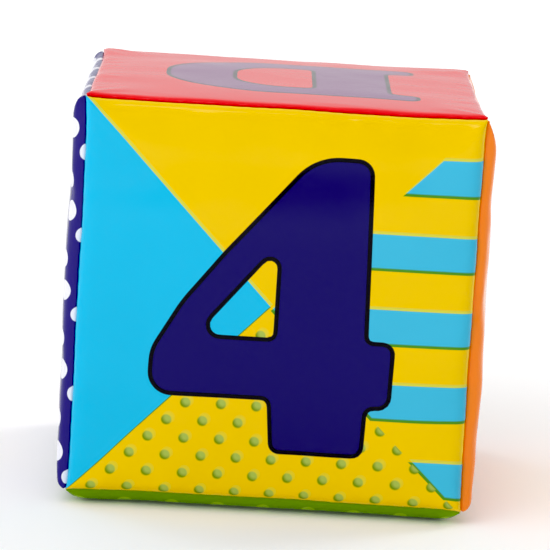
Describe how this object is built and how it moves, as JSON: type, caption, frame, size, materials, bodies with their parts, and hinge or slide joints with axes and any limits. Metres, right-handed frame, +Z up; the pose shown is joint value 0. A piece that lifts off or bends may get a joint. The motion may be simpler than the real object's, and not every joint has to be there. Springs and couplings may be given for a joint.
{
  "type": "soft foam toy block",
  "caption": "Soft cube-shaped baby block: a foam core in a sewn skin of crowned, printed vinyl panels, for gripping, stacking and learning numbers.",
  "frame": {"origin": "On the ground, under the middle of the block: the centre of the flat middle of the bottom panel.", "axes": "+Z up, out of the top panel. -Y is the front, out of the number panel. +X is to the right as the number is read."},
  "size_m": [0.081, 0.081, 0.0795],
  "materials": {
    "foam": "matte",
    "vinyl_front": "gloss",
    "vinyl_back": "gloss",
    "vinyl_left": "gloss",
    "vinyl_right": "gloss",
    "vinyl_top": "gloss",
    "vinyl_bottom": "gloss",
    "thread": "satin"
  },
  "bodies": {
    "root": {"foam_core": "foam", "front_panel": "vinyl_front", "back_panel": "vinyl_back", "left_panel": "vinyl_left", "right_panel": "vinyl_right", "top_panel": "vinyl_top", "bottom_panel": "vinyl_bottom", "seam_thread_front_left": "thread", "seam_thread_front_right": "thread", "seam_thread_back_left": "thread", "seam_thread_back_right": "thread", "top_seam_thread": "thread", "bottom_seam_thread": "thread", "closing_stitch": "thread"}
  },
  "joints": []
}
